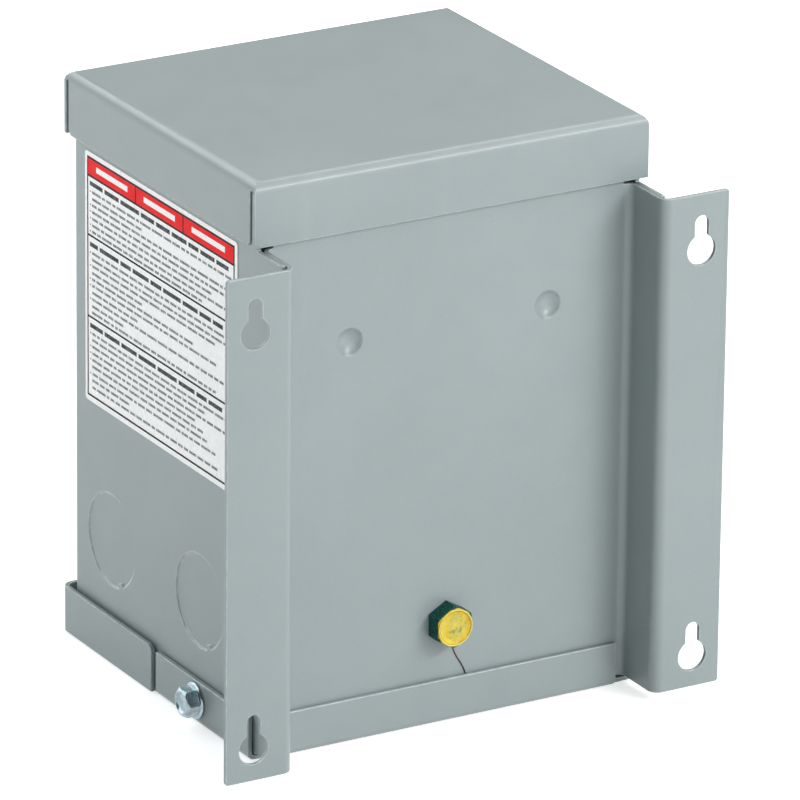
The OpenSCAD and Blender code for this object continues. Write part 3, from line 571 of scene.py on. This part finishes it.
def pan_screws():
    lo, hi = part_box("pan_screws")
    centre = Vector((0, (lo[1] + hi[1]) / 2, (lo[2] + hi[2]) / 2))
    head, shank, af = 4.7, 12.7, 7.92
    # A corner of each hexagon points at the wall
    hexa = hex_radius(af, math.radians(30))
    pieces = []
    for side, name in ((1, "pan_screw_right"), (-1, "pan_screw_left")):
        at = Vector((side * (hi[0] - head * MM), centre[1], centre[2]))
        matrix = Matrix.Translation(at) @ Matrix.Rotation(side * math.pi / 2, 4, "Y")
        # Point, shank, washer flange, fillet to the hexagon
        rings = [(-shank, 0.4), (-shank + 4.4, 2.15), (0, 2.15), (0, 5.1), (0.15, 5.3), (0.45, 5.3),
                 (0.7, 5.1), (0.88, 4.75), (0.95, lambda a: hexa(a) + 0.12), (1.25, hexa)]
        corner = af / math.sqrt(3)
        for k in range(5):
            r = corner - (corner - 3.75) * (k / 4)
            rings.append((head - 0.75 + 0.6 * (k / 4), lambda a, r=r: min(hexa(a), r)))
        rings += [(head - down, r) for down, r in (
            (0.04, 3.55), (0, 3.35), (0.05, 3.12), (0.35, 2.85), (0.55, 2.5), (0.62, 2.0), (0.65, 1.0))]
        pieces.append(lofted(name, rings, matrix, ZINC))
    for piece in pieces:
        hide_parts("pan_screws")


ground_bolt()
pan_screws()


# ---- a thin dark thread of lacquer from the bolt to the pan ----

# The panel's rear face and the thread's middle, both from the case's middle plane, and X, Z in mm
PANEL_Y, THREAD_LIFT, THREAD_R = 53.75, 0.12, 0.19
THREAD_POINTS = ((-2.1, 24.6), (-2.6, 21.2), (-3.6, 18.9), (-4.9, 16.8), (-5.9, 14.9), (-6.6, 13.1))
THREAD_DARK_Z, THREAD_RED_Z = 15, 24


def thread_material():
    """Red lacquer that turns nearly black towards the pan."""
    g = Graph("thread_red")
    height = g.new("ShaderNodeSeparateXYZ")
    g.link(g.coords, height.inputs[0])
    tone = g.math("ADD", g.span(height.outputs["Z"], THREAD_DARK_Z * MM, THREAD_RED_Z * MM),
                  g.span(g.noise(1.2, 3), 0.3, 0.7, -0.2, 0.2))
    tone = g.math("MULTIPLY", tone, 1.0, clamp=True)
    color = g.mix(tone, srgb(20, 6, 8), srgb(142, 30, 30))
    rough = g.span(g.noise(0.8, 2), 0.3, 0.7, 0.3, 0.45)
    return g.finish(color, rough, g.bump(g.noise(0.6, 2), 0.02))


def lacquer_thread():
    panel_y = (PANEL_Y + SHIFT + THREAD_LIFT) * MM
    curve = bpy.data.curves.new("lacquer_thread", "CURVE")
    curve.dimensions = "3D"
    curve.bevel_depth = THREAD_R * MM
    curve.bevel_resolution = 3
    curve.use_fill_caps = True
    spline = curve.splines.new("BEZIER")
    spline.bezier_points.add(len(THREAD_POINTS) - 1)
    for point, (x, z) in zip(spline.bezier_points, THREAD_POINTS):
        point.co = (x * MM, panel_y, z * MM)
        point.handle_left_type = point.handle_right_type = "AUTO"
    curve.materials.append(thread_material())
    obj = bpy.data.objects.new("lacquer_thread", curve)
    scene.collection.objects.link(obj)
    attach(obj, "root")


lacquer_thread()


# ---- pieces inside the case keep their solids ----

# Each slot: its nodes, then two colours, grain size, roughness, depth, metallic, stretch
INNER = {
    "core_steel": (("core_e_stack", "core_i_stack"),
                   (srgb(118, 122, 128), srgb(92, 96, 102), 0.5, 0.42, 0.03, 0.8, (1, 12, 1))),
    "bobbin_plastic": (("bobbin",), (srgb(226, 218, 196), srgb(214, 204, 180), 8, 0.5, 0.02)),
    "magnet_wire": (("primary_winding", "secondary_winding"),
                    (srgb(176, 96, 44), srgb(120, 58, 24), 1.1, 0.3, 0.25, 0.3, (0.05, 0.05, 1))),
    "insulation_paper": (("coil_wrap", "barrier_plate"),
                         (srgb(208, 184, 138), srgb(190, 164, 118), 2, 0.7, 0.03)),
    "potting_resin": (("potting",), (srgb(66, 66, 66), srgb(48, 48, 50), 1.4, 0.62, 0.06)),
    "zinc_plate": (("rail_top_front", "rail_top_rear", "rail_bottom_front", "rail_bottom_rear",
                    "core_bolts", "core_nuts", "ground_lockwasher", "ground_nut"), None),
    "tinned_copper": (("lead_tips",),
                      (srgb(206, 206, 200), srgb(176, 172, 160), 0.3, 0.3, 0.04, 0.9)),
    "lead_black": (("lead_h1",), (srgb(26, 26, 28), srgb(38, 38, 40), 3, 0.45, 0.01)),
    "lead_grey": (("lead_h2",), (srgb(120, 122, 124), srgb(108, 110, 112), 3, 0.45, 0.01)),
    "lead_brown": (("lead_h3",), (srgb(104, 62, 34), srgb(90, 52, 28), 3, 0.45, 0.01)),
    "lead_orange": (("lead_h4",), (srgb(232, 128, 40), srgb(218, 114, 32), 3, 0.45, 0.01)),
    "lead_yellow": (("lead_x1",), (srgb(236, 206, 62), srgb(224, 192, 52), 3, 0.45, 0.01)),
    "lead_blue": (("lead_x2",), (srgb(36, 84, 168), srgb(30, 72, 150), 3, 0.45, 0.01)),
    "lead_red": (("lead_x3",), (srgb(196, 40, 36), srgb(178, 32, 30), 3, 0.45, 0.01)),
    "lead_white": (("lead_x4",), (srgb(236, 236, 232), srgb(224, 224, 218), 3, 0.45, 0.01)),
}
for slot, (names, look) in INNER.items():
    material = ZINC if look is None else plain_material(slot, *look)
    for name in names:
        mesh_materials = NODES[name].data.materials
        if len(mesh_materials) == 0:
            mesh_materials.append(material)
        for i in range(len(mesh_materials)):
            mesh_materials[i] = material


# ---- floor ----

FLOOR_HALF = 4.0
# A hair below the part, so that the two faces don't flicker through each other
FLOOR_Z = -0.05 * MM
FLOOR_GREY = 0.82
FLOOR_GLOW = 0.62


def floor():
    """A pale floor that camera and mirror rays see brighter, which still takes the shadow."""
    mesh = bpy.data.meshes.new("floor")
    r = FLOOR_HALF
    mesh.from_pydata([(-r, -r, 0), (r, -r, 0), (r, r, 0), (-r, r, 0)], [], [(0, 1, 2, 3)])
    g = Graph("floor_pale")
    diffuse = g.new("ShaderNodeBsdfDiffuse")
    diffuse.inputs["Color"].default_value = (FLOOR_GREY, FLOOR_GREY, FLOOR_GREY, 1)
    glow = g.new("ShaderNodeEmission")
    glow.inputs["Color"].default_value = (1, 1, 1, 1)
    glow.inputs["Strength"].default_value = FLOOR_GLOW
    path = g.new("ShaderNodeLightPath")
    mirror = g.math("MAXIMUM", path.outputs["Is Glossy Ray"], path.outputs["Is Transmission Ray"])
    seen = g.math("MAXIMUM", path.outputs["Is Camera Ray"], mirror)
    add = g.new("ShaderNodeAddShader")
    g.link(diffuse.outputs[0], add.inputs[0])
    g.link(glow.outputs[0], add.inputs[1])
    both = g.new("ShaderNodeMixShader")
    g.link(seen, both.inputs[0])
    g.link(diffuse.outputs[0], both.inputs[1])
    g.link(add.outputs[0], both.inputs[2])
    g.link(both.outputs[0], g.out.inputs["Surface"])
    mesh.materials.append(g.material)
    obj = bpy.data.objects.new("floor", mesh)
    obj.location.z = FLOOR_Z
    scene.collection.objects.link(obj)


floor()


# ---- world, lights, camera ----

WORLD_LIGHT = 0.02


def world():
    """White to the camera, and nearly dark as a light."""
    w = bpy.data.worlds.new("studio")
    w.use_nodes = True
    scene.world = w
    tree = w.node_tree
    tree.nodes.clear()
    out = tree.nodes.new("ShaderNodeOutputWorld")
    path = tree.nodes.new("ShaderNodeLightPath")
    seen = tree.nodes.new("ShaderNodeBackground")
    seen.inputs["Color"].default_value = (1, 1, 1, 1)
    light = tree.nodes.new("ShaderNodeBackground")
    light.inputs["Color"].default_value = (0.97, 0.985, 1.0, 1)
    light.inputs["Strength"].default_value = WORLD_LIGHT
    mix = tree.nodes.new("ShaderNodeMixShader")
    tree.links.new(path.outputs["Is Camera Ray"], mix.inputs[0])
    tree.links.new(light.outputs[0], mix.inputs[1])
    tree.links.new(seen.outputs[0], mix.inputs[2])
    tree.links.new(mix.outputs[0], out.inputs[0])


world()

# What the lights are aimed at
AIM = Vector((0, 0, 0.085))
COOL = (0.93, 0.99, 1.0)
WHITE = (1, 1, 1)
# Each soft box: azimuth and elevation in degrees, distance and size in m, power in W, colour.
# Azimuth 0 is in front of the back panel (+Y), positive towards +X.
LIGHTS = {
    "key": (-32, 32, 2.2, (1.15, 0.25), 17, WHITE),
    "low_front": (-5, 19, 1.9, (2.2, 1.3), 20.5, WHITE),
    "high_front": (-50, 50, 2.0, (1.0, 0.75), 8, WHITE),
    "high_left": (-88, 62, 1.5, (0.7, 0.5), 2.8, WHITE),
    "top": (-130, 53, 1.5, (0.8, 0.4), 4.6, WHITE),
    "side_back": (144, 25, 1.4, (2.2, 1.4), 17.9, COOL),
    "back": (-170, 38, 1.6, (2.2, 0.5), 8, WHITE),
}


def toward(azimuth, elevation):
    """The unit vector from the object towards angles given in radians."""
    return Vector((math.cos(elevation) * math.sin(azimuth), math.cos(elevation) * math.cos(azimuth),
                   math.sin(elevation)))


def area_light(name, azimuth, elevation, distance, size, power, color):
    data = bpy.data.lights.new(name, "AREA")
    data.shape = "RECTANGLE"
    data.size, data.size_y = size
    data.energy = power
    data.color = color
    obj = bpy.data.objects.new(name, data)
    scene.collection.objects.link(obj)
    away = toward(math.radians(azimuth), math.radians(elevation))
    obj.location = AIM + away * distance
    obj.rotation_euler = away.to_track_quat("Z", "Y").to_euler()


for name, settings in LIGHTS.items():
    area_light(name, *settings)

AZIMUTH = math.radians(30.07)
ELEVATION = math.radians(20.82)
ROLL = math.radians(0.62)
FOCAL_PX = 8787.823
IMAGE_PX = 800
SENSOR = 36
DISTANCE = 2.5
CLIP = (0.05, 50)
TARGET = Vector((-0.015620, SHIFT * MM, 0.075654))


def camera():
    data = bpy.data.cameras.new("camera")
    data.sensor_fit = "HORIZONTAL"
    data.sensor_width = SENSOR
    data.lens = FOCAL_PX / IMAGE_PX * SENSOR
    data.clip_start, data.clip_end = CLIP
    obj = bpy.data.objects.new("camera", data)
    scene.collection.objects.link(obj)
    away = toward(AZIMUTH, ELEVATION)
    right = Vector((-math.cos(AZIMUTH), math.sin(AZIMUTH), 0))
    up = away.cross(right)
    turned_right = math.cos(ROLL) * right + math.sin(ROLL) * up
    turned_up = -math.sin(ROLL) * right + math.cos(ROLL) * up
    rotation = Matrix((turned_right, turned_up, away)).transposed()
    obj.matrix_world = Matrix.Translation(TARGET + away * DISTANCE) @ rotation.to_4x4()
    scene.camera = obj


camera()
scene.view_settings.view_transform = "Standard"
